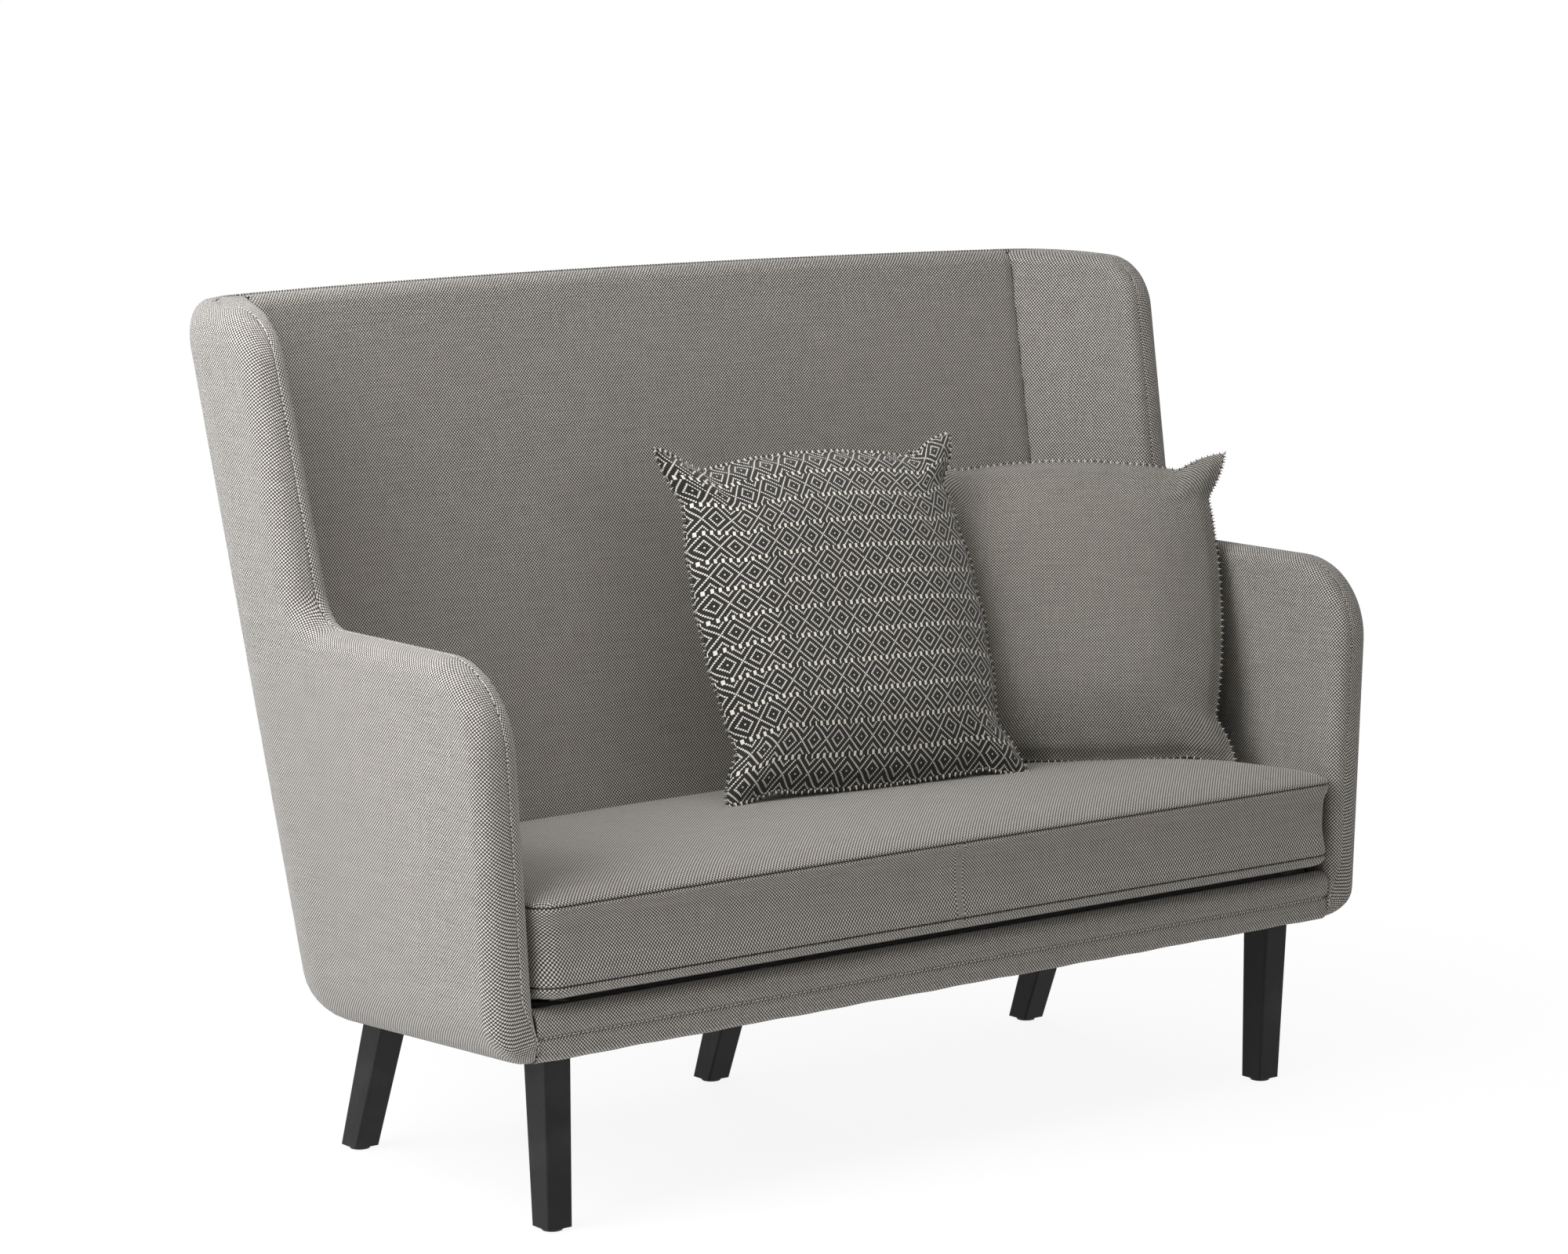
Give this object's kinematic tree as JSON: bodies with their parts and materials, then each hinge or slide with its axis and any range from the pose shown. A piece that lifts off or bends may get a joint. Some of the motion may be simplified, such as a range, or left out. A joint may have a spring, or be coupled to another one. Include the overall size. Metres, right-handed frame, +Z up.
{
  "type": "high-back sofa",
  "caption": "High-back upholstered sofa: a winged wrap-around shell with rolled rims, a loose boxed seat cushion, loose scatter pillows and tapered black legs.",
  "frame": {"origin": "middle of the whole sofa's footprint, on the floor", "axes": "+X to the right as seen from the front, +Y to the back, +Z up; the front faces -Y"},
  "size_m": [1.5216, 0.7719, 1.104],
  "materials": {
    "basket_fabric": "two-tone basket weave",
    "patterned_fabric": "black and off-white geometric weave",
    "leg_lacquer": "matte black lacquer",
    "glide_plastic": "matte",
    "zinc_steel": "zinc plated",
    "frame_timber": "sawn timber",
    "frame_plywood": "sanded plywood",
    "webbing": "elastic webbing",
    "lining": "black lining cloth",
    "stuffing": "foam and wadding"
  },
  "bodies": {
    "sofa": {"back_lower_rail": "frame_timber", "back_lumbar_rail": "frame_timber", "back_post_left": "frame_timber", "back_post_right": "frame_timber", "back_top_rail": "frame_timber", "back_webbing": "webbing", "base_centre_rail": "frame_timber", "base_front_rail": "frame_timber", "base_rail_left": "frame_timber", "base_rail_right": "frame_timber", "base_rear_rail": "frame_timber", "corner_blocks": "frame_timber", "corner_post_left": "frame_plywood", "corner_post_right": "frame_plywood", "dust_cover": "lining", "frame_bolts": "zinc_steel", "front_leg_left": "leg_lacquer", "front_leg_right": "leg_lacquer", "front_rail_cover": "basket_fabric", "inner_back": "basket_fabric", "inner_side_left": "basket_fabric", "inner_side_right": "basket_fabric", "leg_bolts": "zinc_steel", "leg_glides": "glide_plastic", "leg_plates": "zinc_steel", "outer_back": "basket_fabric", "outer_side_left": "basket_fabric", "outer_side_right": "basket_fabric", "rear_leg_centre": "leg_lacquer", "rear_leg_left": "leg_lacquer", "rear_leg_right": "leg_lacquer", "seat_deck": "lining", "seat_webbing": "webbing", "side_panel_left": "frame_plywood", "side_panel_right": "frame_plywood"},
    "seat_cushion": {"seat_cushion_cover": "basket_fabric", "seat_cushion_core": "stuffing"},
    "plain_pillow": {"plain_pillow_cover": "basket_fabric", "plain_pillow_filling": "stuffing"},
    "patterned_pillow": {"patterned_pillow_cover": "patterned_fabric", "patterned_pillow_filling": "stuffing"}
  },
  "joints": [
    {"name": "seat_cushion_lift", "type": "slide", "parent": "sofa", "child": "seat_cushion", "axis": [0, 0, 1], "range_m": [0, 0.35]},
    {"name": "plain_pillow_lift", "type": "slide", "parent": "seat_cushion", "child": "plain_pillow", "axis": [0, 0, 1], "range_m": [0, 0.3]},
    {"name": "patterned_pillow_lift", "type": "slide", "parent": "plain_pillow", "child": "patterned_pillow", "axis": [0, 0, 1], "range_m": [0, 0.3]}
  ]
}
